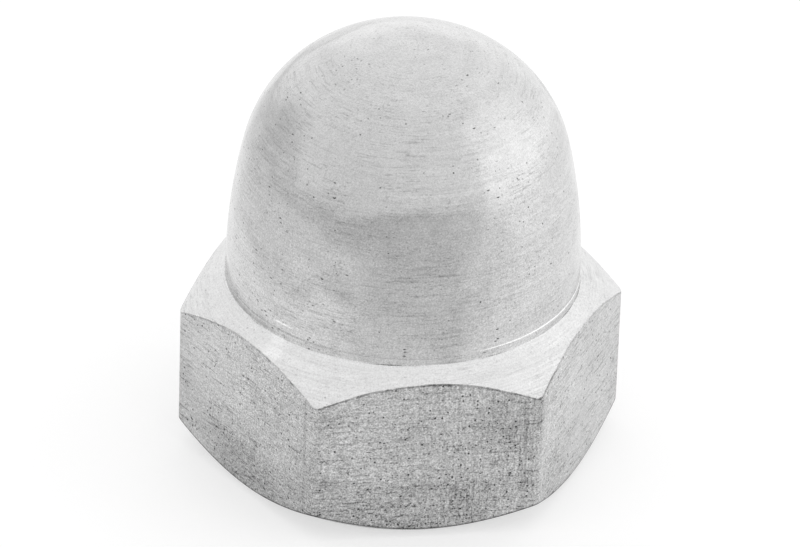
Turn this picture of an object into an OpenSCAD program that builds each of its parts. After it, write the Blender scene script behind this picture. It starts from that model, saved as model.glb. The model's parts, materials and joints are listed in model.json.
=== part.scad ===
// Cap nut, turned in one piece from hexagonal bar.
// The origin is the centre of the seat, +Z runs up the axis to the crown, and one flat faces -Y.

/* [Hexagon] */
// Width across the flats
hex_af = 13; // [12.6:0.1:16]
// Height of the hexagon, from the seat to the foot of the neck
hex_h = 6.35; // [4:0.05:8]
// Radius of the bar's six upright corners
corner_r = 0.4; // [0.1:0.05:1]
// Slope of the upper chamfer, in degrees from the seat's plane
top_chamfer_a = 38; // [20:1:45]
// Diameter of the flat seat
seat_d = 12.2; // [10:0.1:12.6]
// Slope of the lower chamfer, in degrees from the seat's plane
seat_chamfer_a = 36; // [15:1:45]

/* [Neck and dome] */
// Height of the whole nut, from the seat to the top of the crown
nut_h = 15.1; // [13.5:0.1:18]
// Diameter of the neck
neck_d = 11.85; // [11:0.05:12.2]
// Height of the dome, from the top of the straight neck to the top of the crown
dome_h = 8.4; // [7.4:0.1:9.6]
// Height of the land that the turning tool leaves at the foot of the neck
land_h = 0.25; // [0.1:0.05:0.6]
// How far the land stands out of the neck
land_step = 0.015; // [0.01:0.005:0.1]
// Radius of the long arc up the dome's flank
flank_r = 20; // [14:0.5:40]
// Radius of the arc round the dome's shoulder
shoulder_r = 5; // [3:0.1:5.4]
// Radius of the flatter arc over the crown
crown_r = 8.5; // [6.5:0.1:14]

/* [Threaded hole] */
// Diameter of the hole drilled for the thread
bore_d = 6.8; // [5:0.1:7.4]
// Wall left between the drill's point and the top of the crown
crown_wall = 2; // [1.2:0.1:3]
// Included angle of the drill's point
point_a = 118; // [90:1:140]
// Diameter of the countersink in the seat
mouth_d = 8.6; // [8:0.1:9.6]
// Included angle of the countersink
mouth_a = 90; // [60:1:120]

/* [Hidden] */
$fn = 96;

// Arcs that run into each other cross by this hair, so that they meet at a clean point
hair = 0.0005;

// Bar: radius to its sharp corners, and to the centres of the arcs that round them
sharp_r = hex_af / 2 / cos(30);
corner_centre_r = (hex_af / 2 - corner_r) / cos(30);

// Blank: radii where the chamfers start
seat_r = seat_d / 2;
neck_r = neck_d / 2;
land_r = neck_r + land_step;
land_top = hex_h + land_h;

// Dome: centres of the three arcs, and the points where the shoulder runs into the other two
dome_z = nut_h - dome_h;
flank_c = [neck_r - flank_r, dome_z];
crown_c = [0, nut_h - crown_r];
shoulder_c = tangent_centre(flank_c, flank_r - shoulder_r, crown_c, crown_r - shoulder_r);
flank_end = on_circle(flank_c, flank_r, shoulder_c);
crown_end = on_circle(crown_c, crown_r, shoulder_c);

// Hole: depths from the seat
bore_r = bore_d / 2;
mouth_r = mouth_d / 2;
mouth_depth = (mouth_r - bore_r) / tan(mouth_a / 2);
point_depth = nut_h - crown_wall;
bore_depth = point_depth - bore_r / tan(point_a / 2);

// The point a from p and b from q, on the left of the way from p to q
function tangent_centre(p, a, q, b) =
    let (span = norm(q - p),
         way = (q - p) / span,
         along = (span ^ 2 + a ^ 2 - b ^ 2) / (2 * span),
         across = sqrt(a ^ 2 - along ^ 2))
    p + along * way + across * [-way.y, way.x];

// The point where a circle meets the ray from its centre through another point
function on_circle(centre, radius, through) =
    centre + radius * (through - centre) / norm(through - centre);

// Section of the drawn bar: a hexagon whose corners are trimmed to arcs
module bar_section() {
    intersection() {
        circle(sharp_r, $fn = 6);
        union() {
            for (turn = [30:60:150])
                rotate(turn) square([2 * sharp_r, corner_centre_r], center = true);
            for (turn = [0:60:300])
                rotate(turn) translate([corner_centre_r, 0]) circle(corner_r + hair);
        }
    }
}

// Half section of the turned blank: the seat, its chamfer, the upper chamfer and the land
module blank_profile() {
    polygon([
        [0, 0],
        [seat_r, 0],
        [sharp_r, (sharp_r - seat_r) * tan(seat_chamfer_a)],
        [sharp_r, hex_h - (sharp_r - land_r) * tan(top_chamfer_a)],
        [land_r, hex_h],
        [land_r, land_top],
        [0, land_top]
    ]);
}

// Half section of the straight neck, rooted in the hexagon and lapping into the dome
module neck_profile() {
    lap = sqrt(flank_r * hair);
    translate([0, hex_h / 2]) square([neck_r, dome_z + lap - hex_h / 2]);
}

// Half section of the dome: flank and crown trim each other, and the shoulder rounds their corner
module dome_profile() {
    intersection() {
        translate([0, dome_z]) square([neck_r, nut_h]);
        translate(flank_c) circle(flank_r + hair, $fn = 4 * $fn);
        translate(crown_c) circle(crown_r);
        union() {
            translate(shoulder_c) circle(shoulder_r + hair);
            polygon([
                [0, dome_z],
                [land_r, dome_z],
                [land_r, flank_end.y],
                flank_end,
                crown_end,
                [crown_end.x, 2 * nut_h],
                [0, 2 * nut_h]
            ]);
        }
    }
}

// Half section of the drilled and countersunk hole
module hole_profile() {
    polygon([
        [0, 0],
        [mouth_r, 0],
        [bore_r, mouth_depth],
        [bore_r, bore_depth],
        [0, point_depth]
    ]);
}

module cap_nut() {
    color("silver")
    difference() {
        union() {
            intersection() {
                linear_extrude(land_top) bar_section();
                rotate_extrude() blank_profile();
            }
            rotate_extrude() neck_profile();
            rotate_extrude() dome_profile();
        }
        rotate_extrude() hole_profile();
    }
}

cap_nut();
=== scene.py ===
import json

import bpy
import numpy as np
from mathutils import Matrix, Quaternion, Vector


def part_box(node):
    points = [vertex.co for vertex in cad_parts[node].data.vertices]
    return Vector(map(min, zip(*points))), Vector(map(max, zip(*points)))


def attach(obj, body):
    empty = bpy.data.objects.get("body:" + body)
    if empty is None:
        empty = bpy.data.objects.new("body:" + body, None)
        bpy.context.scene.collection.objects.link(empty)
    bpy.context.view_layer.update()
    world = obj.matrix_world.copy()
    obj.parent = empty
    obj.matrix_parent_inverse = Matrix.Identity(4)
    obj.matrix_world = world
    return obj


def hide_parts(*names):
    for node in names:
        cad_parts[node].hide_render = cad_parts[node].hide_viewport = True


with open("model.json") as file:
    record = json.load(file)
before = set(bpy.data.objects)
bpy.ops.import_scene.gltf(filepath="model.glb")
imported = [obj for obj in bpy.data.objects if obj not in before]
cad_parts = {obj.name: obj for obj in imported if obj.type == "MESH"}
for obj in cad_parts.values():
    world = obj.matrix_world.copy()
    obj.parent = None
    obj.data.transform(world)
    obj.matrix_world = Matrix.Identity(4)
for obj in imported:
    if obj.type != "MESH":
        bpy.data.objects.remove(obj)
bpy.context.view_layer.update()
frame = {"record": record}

# The cap nut: one piece of plain bright steel, turned on a lathe from drawn hexagonal bar.
# Dome, neck, chamfers and seat are turned, the six flats keep the bar's own skin, and the
# blind hole is drilled, countersunk and tapped from below. All sizes here are in millimetres.

MM = 0.001
low, high = np.array(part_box("cap_nut")) / MM
across_flats = high[1] - low[1]
nut_height = high[2]

hex_height = 6.35
corner_radius = 0.4
top_chamfer = np.radians(38)
seat_radius = 6.1
seat_chamfer = np.radians(36)
neck_radius = 5.925
land_radius = 5.94
land_top = 6.6
land_slope = 0.02
dome_start = 6.7
flank_radius = 20.0
shoulder_radius = 5.0
crown_radius = 8.5
mouth_radius = 4.3
drill_point = np.radians(118 / 2)
seat_easing = 0.06
low_easing = 0.05
high_easing = 0.04
foot_easing = 0.04

thread_mount = next(mount for mount in frame["record"]["mounts"] if mount["name"] == "thread")
bore_radius = thread_mount["dims"]["r_mm"]
bore_depth = mouth_radius - bore_radius + thread_mount["dims"]["length_mm"]
thread_pitch = 1.25
thread_root = 4.0
thread_full = 8.8
thread_fade = 1.9


def bar_outline(flat_steps, corner_steps):
    """Points round the bar's section, counter-clockwise, as an array of x and y.
    One sector runs along a flat in even steps and round its corner by equal turns of the
    normal, and the other five are that sector turned by 60 degrees at a time."""
    apothem = across_flats / 2
    half_flat = (apothem - corner_radius) * np.tan(np.radians(30))
    along_flat = np.linspace(-half_flat, half_flat, flat_steps + 1)
    flat = np.stack([along_flat, np.full_like(along_flat, -apothem)], axis=1)
    normal = np.radians(np.linspace(-90, -30, corner_steps + 1)[1:-1])
    arc_centre = np.array([half_flat, corner_radius - apothem])
    corner = arc_centre + corner_radius * np.stack([np.cos(normal), np.sin(normal)], axis=1)
    sector = np.vstack([flat, corner])
    turn = np.radians(60 * np.arange(6))[:, None]
    x = sector[:, 0] * np.cos(turn) - sector[:, 1] * np.sin(turn)
    y = sector[:, 0] * np.sin(turn) + sector[:, 1] * np.cos(turn)
    return np.stack([x.ravel(), y.ravel()], axis=1)


outline = bar_outline(flat_steps=32, corner_steps=12)
reach = np.hypot(outline[:, 0], outline[:, 1])
bearing = np.arctan2(outline[:, 1], outline[:, 0])


def ring(radius, height):
    """A row of the section, or a stack of rows: a radius and a height for every bearing."""
    return np.stack([radius + 0 * reach, height + 0 * reach], axis=-1)


def stretch(start, end, steps):
    """Rows in even steps from just after one ring up to and with another."""
    share = np.linspace(0, 1, steps + 1)[1:, None, None]
    return start + (end - start) * share


def arc(centre, radius, start, end, steps):
    """Rows in even turns along an arc of the section, from just after its start to its end.
    A row is at the centre plus the radius times the cosine and sine of its angle."""
    angle = np.linspace(start, end, steps + 1)[1:, None]
    return ring(centre[0] + radius * np.cos(angle), centre[1] + radius * np.sin(angle))


def eased(before, corner, after, radius, steps=4):
    """Rows that round a corner of the section with an arc of the given radius.
    The arc touches both sides at radius times the tangent of half the turn from the corner,
    and each row is its first point turned about its centre by an even share of the turn."""
    into = (corner - before) / np.linalg.norm(corner - before, axis=-1, keepdims=True)
    out = (after - corner) / np.linalg.norm(after - corner, axis=-1, keepdims=True)
    cross = into[:, 0] * out[:, 1] - into[:, 1] * out[:, 0]
    turn = np.arctan2(cross, np.sum(into * out, axis=-1))
    side = np.sign(turn)[:, None] * np.stack([-into[:, 1], into[:, 0]], axis=-1)
    first = corner - into * radius * np.tan(np.abs(turn) / 2)[:, None]
    share = np.linspace(0, 1, steps + 1)[:, None] * turn
    spoke_r = side[:, 0] * np.cos(share) - side[:, 1] * np.sin(share)
    spoke_z = side[:, 0] * np.sin(share) + side[:, 1] * np.cos(share)
    return first + radius * side - radius * np.stack([spoke_r, spoke_z], axis=-1)


def bore_wall(rows_per_pitch):
    """Rows down the tapped hole, from the drill's shoulder to the seat.
    The thread is a groove whose depth falls from its root by the 60 degree flanks with the
    distance from the groove's middle, which climbs one pitch a turn. It fades out at the
    tap's lead, and the countersink takes over where it is wider."""
    rows = int(bore_depth / thread_pitch * rows_per_pitch)
    height = np.linspace(bore_depth, 0, rows + 1)[1:, None]
    phase = height / thread_pitch - bearing / (2 * np.pi)
    from_middle = np.abs(phase - np.round(phase)) * thread_pitch
    flank_depth = (from_middle - thread_pitch / 16) / np.tan(np.radians(30))
    lead = np.clip((thread_full + thread_fade - height) / thread_fade, 0, 1)
    root = bore_radius + (thread_root - bore_radius) * lead
    groove = np.clip(root - np.maximum(flank_depth, 0), bore_radius, None)
    countersink = mouth_radius - height
    return ring(np.maximum(groove, countersink), height)


def dome_rows():
    """Rows up the dome: a long flank arc, the shoulder and a flatter crown, each touching the next.
    The shoulder's centre lies at the radii's differences from the centres of the other two arcs."""
    flank = np.array([neck_radius - flank_radius, dome_start])
    crown = np.array([0, nut_height - crown_radius])
    to_flank, to_crown = flank_radius - shoulder_radius, crown_radius - shoulder_radius
    span = np.linalg.norm(crown - flank)
    way = (crown - flank) / span
    along = (span**2 + to_flank**2 - to_crown**2) / (2 * span)
    across = np.sqrt(to_flank**2 - along**2)
    shoulder = flank + along * way + across * np.array([-way[1], way[0]])
    flank_end = np.arctan2(*(shoulder - flank)[::-1])
    crown_start = np.arctan2(*(shoulder - crown)[::-1])
    return np.concatenate([
        arc(flank, flank_radius, 0, flank_end, steps=26),
        arc(shoulder, shoulder_radius, flank_end, crown_start, steps=40),
        arc(crown, crown_radius, crown_start, np.pi / 2, steps=8)[:-1],
    ])


drill_tip = bore_depth + bore_radius / np.tan(drill_point)
mouth_edge = ring(mouth_radius, 0)
seat_edge = ring(seat_radius, 0)
low_edge = ring(reach, (reach - seat_radius) * np.tan(seat_chamfer))
high_edge = ring(reach, hex_height - (reach - land_radius) * np.tan(top_chamfer))
foot = ring(land_radius, hex_height)
land_edge = ring(land_radius, land_top)
neck_edge = ring(neck_radius, land_top + land_slope)

seat_round = eased(mouth_edge, seat_edge, low_edge, seat_easing)
low_round = eased(seat_edge, low_edge, high_edge, low_easing)
high_round = eased(low_edge, high_edge, foot, high_easing)
foot_round = eased(high_edge, foot, land_edge, foot_easing)
blocks = [
    ("hole", stretch(ring(0.0, drill_tip), ring(bore_radius, bore_depth), steps=8)),
    ("hole", bore_wall(rows_per_pitch=20)),
    ("seat", stretch(mouth_edge, seat_round[0], steps=8)),
    ("seat", seat_round[1:]),
    ("low chamfer", stretch(seat_round[-1], low_round[0], steps=8)),
    ("low edge", low_round[1:]),
    ("flat", stretch(low_round[-1], high_round[0], steps=24)),
    ("high edge", high_round[1:]),
    ("top chamfer", stretch(high_round[-1], foot_round[0], steps=12)),
    ("foot", foot_round[1:]),
    ("neck", stretch(foot_round[-1], land_edge, steps=4)),
    ("neck", stretch(land_edge, neck_edge, steps=2)),
    ("neck", stretch(neck_edge, ring(neck_radius, dome_start), steps=3)),
    ("dome", dome_rows()),
]
section = np.concatenate([rows for name, rows in blocks])
part_of_row = np.concatenate([[name] * len(rows) for name, rows in blocks])


def closed_skin(name, section):
    """A closed mesh from a section's rows carried round the axis, with a pole at each end.
    A row's points stand at its radius along each bearing and at its height. Quads join each
    row to the next all the way round, and triangles close the two poles."""
    x = section[..., 0] * np.cos(bearing)
    y = section[..., 0] * np.sin(bearing)
    grid = np.stack([x, y, section[..., 1]], axis=-1).reshape(-1, 3)
    points = np.vstack([grid, [[0, 0, drill_tip], [0, 0, nut_height]]]) * MM
    rows, columns = section.shape[:2]
    index = np.arange(rows * columns).reshape(rows, columns)
    after = np.roll(index, -1, axis=1)
    quads = np.stack([index[:-1], after[:-1], after[1:], index[1:]], axis=-1).reshape(-1, 4)
    tip, top = rows * columns, rows * columns + 1
    tip_fan = np.stack([np.full(columns, tip), after[0], index[0]], axis=-1)
    top_fan = np.stack([np.full(columns, top), index[-1], after[-1]], axis=-1)
    mesh = bpy.data.meshes.new(name)
    mesh.from_pydata(points, [], quads.tolist() + tip_fan.tolist() + top_fan.tolist())
    mesh.polygons.foreach_set("use_smooth", np.ones(len(mesh.polygons), bool))
    made = bpy.data.objects.new(name, mesh)
    bpy.context.collection.objects.link(made)
    return made


nut = closed_skin("turned_nut", section)


def mark(name, vectors):
    """A vector on every point of the nut, from one for each row and bearing.
    The two poles take those of the first and the last point."""
    vectors = np.broadcast_to(vectors, section.shape[:2] + (3,)).reshape(-1, 3)
    vectors = np.vstack([vectors, vectors[:1], vectors[-1:]])
    nut.data.attributes.new(name, "FLOAT_VECTOR", "POINT").data.foreach_set("vector", vectors.ravel())


# Lengths along the section from the neck's foot and from both edges of the flats
step_length = np.linalg.norm(np.diff(section, axis=0, prepend=section[:1]), axis=-1)
length = np.cumsum(step_length, axis=0)
from_foot = length - length[np.flatnonzero(part_of_row == "foot")[-1]]
from_top_edge = length - length[np.flatnonzero(part_of_row == "high edge")[1]]
from_low_edge = length - length[np.flatnonzero(part_of_row == "low edge")[1]]
mark("cut", np.stack([from_foot, from_top_edge, from_low_edge], axis=-1))

# Distance from the nearest upright corner, and the side of it, which is positive on its right
half_side = across_flats / 2 * np.tan(np.radians(30))
from_corner = np.abs((np.degrees(bearing) + 30) % 60 - 30) / 30 * half_side
mark("corner", np.stack([from_corner, np.sin(6 * bearing), 0 * bearing], axis=-1))

steel = bpy.data.materials.new("turned_steel")
steel.use_nodes = True


def add(kind, inputs, output=0, tree=None, **settings):
    """A node with its settings, and with values or links on its inputs.
    It goes into the given tree, or else into the tree that its links come from."""
    links = {name: value for name, value in inputs.items() if isinstance(value, bpy.types.NodeSocket)}
    tree = tree or next(iter(links.values())).id_data
    made = tree.nodes.new(kind)
    for name, value in settings.items():
        setattr(made, name, value)
    for name, value in inputs.items():
        if name in links:
            tree.links.new(value, made.inputs[name])
        else:
            made.inputs[name].default_value = value
    return made.outputs[output]


def maths(operation, first, second=0.0):
    """One operation on one or two values."""
    return add("ShaderNodeMath", {0: first, 1: second}, operation=operation)


def total(*parts):
    """The sum of all parts."""
    result = parts[0]
    for part in parts[1:]:
        result = maths("ADD", result, part)
    return result


def product(*parts):
    """The product of all parts."""
    result = parts[0]
    for part in parts[1:]:
        result = maths("MULTIPLY", result, part)
    return result


def dot(vector, way):
    """How far a vector reaches along a way."""
    return add("ShaderNodeVectorMath", {0: vector, 1: way}, output="Value", operation="DOT_PRODUCT")


def stretched(vector, factors):
    """A vector with each axis times its own factor."""
    return add("ShaderNodeVectorMath", {0: vector, 1: factors}, operation="MULTIPLY")


def ramp(value, start, end, low=0.0, high=1.0, curve="LINEAR"):
    """An even change from low to high as a value goes from start to end."""
    limits = {0: value, 1: start, 2: end, 3: low, 4: high}
    return add("ShaderNodeMapRange", limits, interpolation_type=curve)


def fade(value, start, end, low=0.0, high=1.0):
    """The same change with soft ends."""
    return ramp(value, start, end, low, high, curve="SMOOTHSTEP")


def between(first, second, share):
    """The first value where the share is 0, the second where it is 1."""
    return add("ShaderNodeMix", {"Factor": share, "A": first, "B": second}, data_type="FLOAT")


def cloud(vector, scale=1.0, detail=2.0, roughness=0.5):
    """Soft noise round one half, at so many cells a unit."""
    inputs = {"Vector": vector, "Scale": scale, "Detail": detail, "Roughness": roughness}
    return add("ShaderNodeTexNoise", inputs)


def sway(pattern, amount):
    """A pattern round one half as a change up and down by an amount."""
    return product(maths("SUBTRACT", pattern, 0.5), amount)


coordinates = add("ShaderNodeTexCoord", {}, output="Object", tree=steel.node_tree)
place = add("ShaderNodeVectorMath", {0: coordinates, "Scale": 1 / MM}, operation="SCALE")
across_x = add("ShaderNodeSeparateXYZ", {0: place}, output="X")
across_y = add("ShaderNodeSeparateXYZ", {0: place}, output="Y")
cut = add("ShaderNodeAttribute", {}, output="Vector", tree=steel.node_tree, attribute_name="cut")
along, over_top, over_low = add("ShaderNodeSeparateXYZ", {0: cut}).node.outputs
corner = add("ShaderNodeAttribute", {}, output="Vector", tree=steel.node_tree, attribute_name="corner")
corner_way = add("ShaderNodeSeparateXYZ", {0: corner}, output="X")
corner_side = add("ShaderNodeSeparateXYZ", {0: corner}, output="Y")


def turned(around, across):
    """Coordinates with so many cells a millimetre round the axis, and so many across the tool's path."""
    climb = add("ShaderNodeCombineXYZ", {"Z": product(along, across)})
    return add("ShaderNodeVectorMath", {0: stretched(place, (around, around, 0)), 1: climb}, operation="ADD")


def drawn(level, upright):
    """Coordinates with so many cells a millimetre level across a flat, and so many up it."""
    return stretched(place, (level, level, upright))


def specks(vector, scale, size, share):
    """Specks of a size in the vector's units, one in each cell, on a share of the cells.
    Each is full at its middle and gone at its size, and their strengths vary from cell to cell."""
    cells = add("ShaderNodeTexVoronoi", {"Vector": vector, "Scale": scale}).node
    chosen = add("ShaderNodeSeparateColor", {0: cells.outputs["Color"]}, output="Red")
    strength = add("ShaderNodeSeparateColor", {0: cells.outputs["Color"]}, output="Green")
    spot = fade(cells.outputs["Distance"], size * scale, 0.5 * size * scale)
    return product(spot, fade(chosen, share, share - 0.05), between(0.25, 1.0, strength))


# Marks of the turned finish: tool rings, strokes, nicks, pits and scuffs, a grain and a slow wave
feed_pitch = 0.09
rings = cloud(turned(0.15, 12), detail=3, roughness=0.65)
dashes = cloud(turned(4.0, 15), detail=2, roughness=0.6)
bands = cloud(turned(0.12, 1.3), detail=2)
grain = cloud(place, scale=18, detail=1, roughness=0.8)
blotches = cloud(place, scale=2.6, detail=3, roughness=0.6)
wave = cloud(place, scale=0.5, detail=1)
feed = maths("SINE", total(product(along, 2 * np.pi / feed_pitch), sway(bands, 12.0)))
ringed = fade(cloud(place, scale=0.35, detail=1), 0.40, 0.62, 0.4, 1.0)
stroked = fade(cloud(place, scale=0.45, detail=3), 0.40, 0.62)
strokes = product(fade(cloud(turned(1.3, 17), detail=1), 0.54, 0.68), stroked)
nicked = fade(cloud(place, scale=0.9, detail=2), 0.36, 0.58)
nicks = product(fade(cloud(turned(7.0, 15), detail=1), 0.60, 0.72), nicked)
left_wear = fade(across_x, -2.0, -4.5, 0.0, 0.10)
pitted = fade(total(cloud(place, scale=0.8, detail=2), left_wear), 0.48, 0.60)
lone_pits = specks(place, scale=1.8, size=0.045, share=0.5)
close_pits = specks(place, scale=5.0, size=0.042, share=0.5)
long_pits = specks(turned(2.6, 6.0), scale=1.0, size=0.20, share=0.5)
pits = total(lone_pits, product(total(close_pits, long_pits), pitted))
crown_wear = fade(along, 7.0, 9.5, 0.0, 0.10)
scuffed = fade(total(cloud(place, scale=0.6, detail=2), crown_wear), 0.50, 0.62)
scuff_turn = (0.3, 0.9, 0.4)
slanted = add("ShaderNodeVectorRotate", {"Vector": place, "Rotation": scuff_turn}, rotation_type="EULER_XYZ")
scuffs = product(fade(cloud(stretched(slanted, (1.3, 15, 15)), detail=1), 0.60, 0.70), scuffed)

# Zones of the turned finish: the fresh upper chamfer, the land with its step, and the crown. The land's foot
# and step carry painted light and shade
fresh = product(fade(along, 0.0, -0.06), fade(over_top, 0.0, 0.05))
foot_band = product(fade(along, -0.02, 0.02), fade(along, 0.26, 0.22))
step_line = product(fade(along, 0.225, 0.25), fade(along, 0.29, 0.265))
# Painted highlight on the step's right and painted shade on its left
step_light_and_shade = total(fade(across_x, 1.5, 2.3, 0.0, 0.28), fade(across_x, -3.6, -4.6, 0.0, -0.07))
neck_share = fade(along, 3.2, 0.6)
crown_share = fade(along, 11.0, 8.0, 0.3, 1.0)
coarse = total(fade(along, 7.5, 3.5, 0.62, 1.0), product(fresh, -0.3))
pit_depth = product(pits, fade(along, 9.5, 7.0, 0.8, 1.0), between(1.0, 0.4, fresh))

# A painted highlight at one bearing: a bright patch on the chamfer and a dash on the neck
highlight_bearing = np.radians(220.25)
highlight_out = dot(place, (np.cos(highlight_bearing), np.sin(highlight_bearing), 0))
highlight_off = maths("ABSOLUTE", dot(place, (np.sin(highlight_bearing), -np.cos(highlight_bearing), 0)))
highlighted = product(fade(highlight_off, 0.55, 0.1), fade(highlight_out, 3.0, 5.0))
highlight_dash = product(fade(along, 0.47, 0.50), fade(along, 0.56, 0.53), highlighted)

dome_tone = 0.637
neck_tone = 0.617
turned_tone = total(
    between(dome_tone, neck_tone, neck_share),
    # The fresh chamfer is brighter steel, with painted shade towards its right and the painted highlight's
    # patch
    product(fresh, total(fade(across_x, 0.2, 3.8, 0.205, 0.12), product(highlighted, 0.09))),
    # Painted shade on the left of the fresh chamfer
    product(fresh, fade(across_x, -3.5, -5.5, 0.0, -0.03)),
    # Painted shade on the land's foot band on the left, and faint painted light elsewhere
    product(foot_band, fade(across_x, -3.5, -2.5, -0.03, 0.01)),
    # The step: a painted highlight on the right and a line of painted shade on the left
    product(step_line, step_light_and_shade),
    # The painted highlight's dash on the neck
    product(highlight_dash, 0.28),
    product(sway(rings, 0.32), ringed, fade(along, 11.0, 5.0, 0.25, 1.0)),
    sway(bands, 0.12),
    sway(blotches, 0.12),
    product(coarse, crown_share, sway(dashes, 0.18)),
    product(coarse, total(sway(grain, 0.58), product(nicks, -0.15))),
    product(strokes, crown_share, -0.11),
    product(scuffs, -0.09),
    product(pit_depth, -0.50),
)
turned_rough = total(
    0.18,
    product(fresh, 0.19),
    sway(rings, 0.10),
    sway(dashes, 0.10),
    product(coarse, sway(grain, 0.24)),
    product(pit_depth, 0.2),
)
turned_height = total(
    product(sway(wave, 170.0), maths("SUBTRACT", 1.0, fresh)),
    product(feed, 0.12),
    product(crown_share, total(sway(rings, 1.0), sway(dashes, 0.9), product(strokes, -0.5))),
    product(coarse, total(sway(grain, 1.4), product(nicks, -0.8))),
    product(scuffs, -0.6),
    product(pit_depth, -4.0),
)

# Marks of the drawn skin on the flats: speckle, level rows of dark dots and upright die lines
front_flat = fade(across_y, -6.0, -6.4)
die_reach = fade(total(across_x, sway(cloud(place, scale=0.5), 8.0)), -1.5, 2.5)
die_share = product(die_reach, fade(across_y, -5.6, -6.3))
mottle = cloud(place, scale=0.7, detail=3, roughness=0.6)
level_grain = cloud(drawn(5, 17), detail=1)
upright_grain = cloud(drawn(17, 4), detail=1)
speckle = total(
    product(cloud(drawn(19, 20), detail=1, roughness=0.8), 0.74),
    product(between(level_grain, upright_grain, die_share), 0.26),
)
row_share = fade(cloud(drawn(0.6, 7.0), detail=2, roughness=0.6), 0.50, 0.62)
column_share = fade(cloud(drawn(7.0, 0.6), detail=2, roughness=0.6), 0.54, 0.66)
rows = fade(cloud(drawn(1.0, 17), detail=1), 0.58, 0.72)
woven = maths("MAXIMUM", row_share, product(column_share, die_share))
lone_dots = specks(place, scale=4.5, size=0.046, share=0.45)
woven_dots = specks(place, scale=8.0, size=0.041, share=0.65)
dots = total(lone_dots, product(woven, woven_dots))
die_lines = product(sway(cloud(drawn(14, 0.5), detail=2), 1.0), die_share)

# Tone of the drawn skin: the worn front flat is also darker by painted shade, with painted shade towards the
# lower edge and painted light and shade along each flat
# Share of the front: the worn front has more marks, and its darker tone is painted shade
worn_and_shaded = ramp(dot(place, (-0.2, -0.98, 0)), 2.0, 6.4)
low_share = fade(over_low, 4.0, 0.4)
# Painted shade: the flats darken towards their lower edge, with a mottled darker band along it
low_shade_band = total(
    ramp(over_low, 0.0, 4.4, -0.07, 0.04),
    fade(total(over_low, sway(mottle, 0.8)), 1.9, 1.4, 0.0, between(-0.11, -0.05, worn_and_shaded)),
)
# The skin's tone away from the front, and its darker painted-shade tone on the worn front
clean_lit_tone = 0.65
worn_shaded_tone = 0.54
skin_tone = total(
    between(clean_lit_tone, worn_shaded_tone, worn_and_shaded),
    # Painted light and shade low on the left and right flats: the left darkens towards its left edge, the
    # right is lighter near its front corner and darker beyond
    product(low_share, ramp(across_x, -7.3, -4.2, -0.13, 0.06), fade(across_x, -3.7, -4.0)),
    product(low_share, ramp(across_x, 4.2, 5.6, 0.12, -0.06), fade(across_x, 3.7, 4.0)),
    # Painted light and shade on the front flat: its right part lighter low down and darker higher up, and
    # the whole flat darker towards its right
    product(front_flat, ramp(over_low, 0.4, 3.6, 0.135, -0.075), fade(across_x, 0.8, 3.4)),
    product(front_flat, ramp(across_x, -3.8, 3.8, 0.025, -0.035)),
    # The painted shade towards the lower edge, full on the front and faintly reversed away from it
    product(low_shade_band, fade(worn_and_shaded, 0.0, 0.5, -0.2, 1.0)),
    # Painted shade darkening the left flat towards its left edge
    ramp(across_x, -7.4, -5.6, -0.03, 0.0),
    sway(mottle, 0.22),
    product(sway(speckle, 1.3), fade(worn_and_shaded, 0.0, 0.6, 0.8, 1.2)),
    product(row_share, -0.03),
    product(total(product(rows, -0.14), product(dots, -0.66)), between(1.3, 1.0, worn_and_shaded)),
    product(die_lines, 0.34),
)
skin_rough = total(0.48, sway(speckle, 0.3), product(rows, 0.1))
skin_height = total(
    sway(speckle, 2.4),
    product(rows, -1.0),
    product(dots, -3.0),
    product(die_lines, 1.0),
)

# Edges of the flats: a ragged burr at the top, a line of painted shade along the low edge, and painted shade
# down each corner
skin = product(fade(over_top, 0.01, -0.02), fade(over_low, -0.02, 0.02))
ragged = cloud(place, scale=8, detail=3, roughness=0.6)
burr_reach = total(maths("ABSOLUTE", total(over_top, 0.02)), sway(ragged, 0.16))
burr_share = product(fade(cloud(place, scale=2.2), 0.40, 0.62, 0.1, 1.0), between(0.4, 1.0, worn_and_shaded))
burr = product(fade(burr_reach, 0.045, 0.01), burr_share)
# Painted shade: a ragged dark line along the flats' low edge
low_shade_line = fade(total(maths("ABSOLUTE", over_low), sway(ragged, 0.06)), 0.08, 0.02)
burr_and_edge_shade = product(maths("MAXIMUM", burr, low_shade_line), 0.62)
# Painted shade: a faint band on both sides of each corner and a dark line just to its left, strongest on the
# worn front
corner_band = fade(corner_way, 0.25, 0.20)
corner_stripe = product(fade(corner_way, 0.32, 0.38), fade(corner_way, 0.50, 0.44))
corner_line = product(corner_stripe, fade(corner_side, 0.0, -0.2), worn_and_shaded)
corner_shade = product(skin, total(product(corner_band, 0.035), product(corner_line, 0.16)))
edge_shade = product(maths("SUBTRACT", 1.0, burr_and_edge_shade), maths("SUBTRACT", 1.0, corner_shade))

least_tone = 0.06
least_rough = 0.1
tone = maths("MAXIMUM", product(between(turned_tone, skin_tone, skin), edge_shade), least_tone)
rough = maths("MAXIMUM", between(turned_rough, skin_rough, skin), least_rough)
height = between(turned_height, skin_height, skin)

micron = 0.001 * MM
surface = steel.node_tree.nodes["Principled BSDF"]
surface.inputs["Metallic"].default_value = 1.0
colour = add("ShaderNodeCombineColor", {0: tone, 1: tone, 2: tone})
relief = add("ShaderNodeBump", {"Strength": 1.0, "Distance": micron, "Height": height})
steel.node_tree.links.new(colour, surface.inputs["Base Color"])
steel.node_tree.links.new(rough, surface.inputs["Roughness"])
steel.node_tree.links.new(relief, surface.inputs["Normal"])
nut.data.materials.append(steel)

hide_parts("cap_nut")
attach(nut, "root")

# The floor: a plain sheet of white paper that the nut stands on. It keeps the nut's soft shadow,
# it is lifted to white for the camera and for what the steel mirrors of it, and that lift is cut to
# painted shade in a fan before the nut and on the left, and raised to painted light far on the right.

camera_bearing = -98.738


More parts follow.
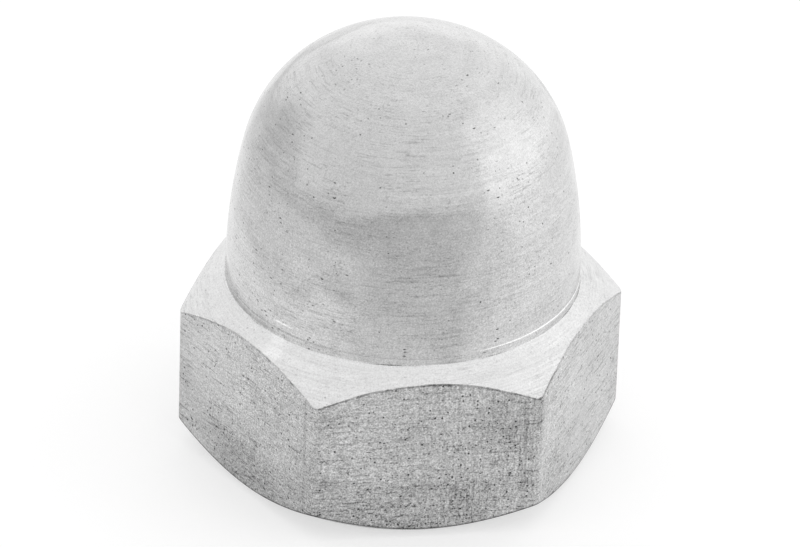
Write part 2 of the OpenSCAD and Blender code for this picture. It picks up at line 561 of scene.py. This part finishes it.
def towards(turn):
    """The level way from the nut at a turn to the right of the camera, in degrees.
    It is the cosine and the sine of the camera's bearing plus that turn."""
    angle = np.radians(camera_bearing + turn)
    return Vector((np.cos(angle), np.sin(angle), 0))


floor_half = 500 * MM
floor_drop = 0.02 * MM
floor_square = floor_half * np.array([(-1, -1, 0), (1, -1, 0), (1, 1, 0), (-1, 1, 0)])
floor_mesh = bpy.data.meshes.new("floor")
floor_mesh.from_pydata(floor_square - [0, 0, floor_drop], [], [(0, 1, 2, 3)])
floor = bpy.data.objects.new("floor", floor_mesh)
bpy.context.collection.objects.link(floor)

paper = bpy.data.materials.new("white_paper")
paper.use_nodes = True
paper_tone = (0.6, 0.6, 0.6, 1)
paper_lift = 0.46

ray = add("ShaderNodeLightPath", {}, tree=paper.node_tree).node
seen = total(*[ray.outputs[f"Is {kind} Ray"] for kind in ("Camera", "Glossy", "Transmission")])
spot = add("ShaderNodeTexCoord", {}, output="Object", tree=paper.node_tree)
far_off = add("ShaderNodeVectorMath", {0: spot}, output="Value", operation="LENGTH")

# The fan of painted shade opens and darkens with the distance from the nut, and points a little to the right
fan_turn = 6.9
fan_cosine = maths("DIVIDE", dot(spot, towards(fan_turn)), far_off)
fan_edge = ramp(far_off, 15 * MM, 50 * MM, 0.64, 0.29)
in_fan = product(ramp(fan_cosine, fan_edge, 0.96), ramp(far_off, 9 * MM, 19 * MM))
fan_lift = ramp(far_off, 20 * MM, 60 * MM, 0.18, 0.05)
front_lift = between(paper_lift, fan_lift, in_fan)

# Painted shade on the left and in the sheet's front left corner, and painted light far on the right
sideways = dot(spot, towards(90))
left_lift = ramp(sideways, -28 * MM, -15 * MM, 0.5, 1.0)
right_lift = ramp(sideways, 40 * MM, 90 * MM, 1.0, 1.3)
corner_lift = ramp(dot(spot, towards(-60)), 95 * MM, 40 * MM, 0.35, 1.0)
lift = product(front_lift, left_lift, corner_lift, right_lift, seen)

matt = paper.node_tree.nodes["Principled BSDF"]
matt.inputs["Base Color"].default_value = paper_tone
matt.inputs["Roughness"].default_value = 0.9
matt.inputs["Specular IOR Level"].default_value = 0.0
matt.inputs["Emission Color"].default_value = (1, 1, 1, 1)
paper.node_tree.links.new(lift, matt.inputs["Emission Strength"])
floor_mesh.materials.append(paper)

# The light: a white tent round the nut, brightest behind it on the right, with a glow straight behind,
# a darker gap on the left and a dark foot on the camera's side. One tall soft box stands on the right
# and fades to its back edge and to its top.

tent = bpy.data.worlds.new("tent")
bpy.context.scene.world = tent
tent.use_nodes = True
tent_level = 0.98

way = add("ShaderNodeTexCoord", {}, output="Generated", tree=tent.node_tree)
way_up = add("ShaderNodeSeparateXYZ", {0: way}, output="Z")
slope = product(dot(way, towards(146)), 0.12)
over_foot = total(product(dot(way, towards(5)), -0.25), way_up)
foot_shade = fade(over_foot, -0.01, -0.25, 0.0, -0.35)
gap_shade = ramp(dot(way, towards(-112)), 0.86, 0.985, 0.0, -0.26)
rear_glow = ramp(dot(way, towards(180)), 0.86, 1.0, 0.0, 0.14)
tent_strength = total(slope, foot_shade, gap_shade, rear_glow, tent_level)

tent_cloth = tent.node_tree.nodes["Background"]
tent_cloth.inputs["Color"].default_value = (1, 1, 1, 1)
tent.node_tree.links.new(tent_strength, tent_cloth.inputs["Strength"])

box_turn = 104
box_left_edge = 59.5
box_distance = 400 * MM
box_width = 2 * box_distance * np.tan(np.radians(box_turn - box_left_edge))
box_height = 900 * MM
box_level = 0.27

box_data = bpy.data.lights.new("right_box", "AREA")
box_data.shape = "RECTANGLE"
box_data.size = box_width
box_data.size_y = box_height
box_data.energy = box_level * np.pi * box_width * box_height
box_data.use_nodes = True
box_tree = box_data.node_tree
box_place = add("ShaderNodeNewGeometry", {}, output="Position", tree=box_tree)
side_fade = ramp(dot(box_place, towards(box_turn + 90)), 0.0, 260 * MM, 1.0, 0.05)
box_up = add("ShaderNodeSeparateXYZ", {0: box_place}, output="Z")
top_fade = ramp(box_up, 200 * MM, 720 * MM, 1.0, 0.0)
box_tree.links.new(product(side_fade, top_fade), box_tree.nodes["Emission"].inputs["Strength"])

box = bpy.data.objects.new("right_box", box_data)
box.location = towards(box_turn) * box_distance + Vector((0, 0, box_height / 2))
box.rotation_mode = "QUATERNION"
box.rotation_quaternion = towards(box_turn).to_track_quat("Z", "Y")
bpy.context.collection.objects.link(box)

# The camera: a long lens, looking down on the nut from a little to the left of its front flat.
# Its focal length and the place of its target are in pixels of the 800 by 547 picture.

image_width = 800
image_height = 547
focal_px = 7543.7
camera_rise = np.radians(31.368)
camera_roll = np.radians(1.981)
camera_distance = 251.8 * MM
target = np.array([0, 0, 6.5]) * MM
target_px = (402.87, 266.79)

camera_data = bpy.data.cameras.new("camera")
camera = bpy.data.objects.new("camera", camera_data)
bpy.context.collection.objects.link(camera)
bpy.context.scene.camera = camera
camera_data.sensor_width = 36
camera_data.lens = focal_px / image_width * camera_data.sensor_width
camera_data.shift_x = (image_width / 2 - target_px[0]) / image_width
camera_data.shift_y = (target_px[1] - image_height / 2) / image_width
camera_data.clip_start = 0.01
camera_data.clip_end = 10
to_camera = towards(0) * np.cos(camera_rise) + Vector((0, 0, np.sin(camera_rise)))
camera.location = Vector(target) + to_camera * camera_distance
camera.rotation_mode = "QUATERNION"
camera.rotation_quaternion = to_camera.to_track_quat("Z", "Y") @ Quaternion((0, 0, 1), camera_roll)

bpy.context.scene.view_settings.view_transform = "Standard"
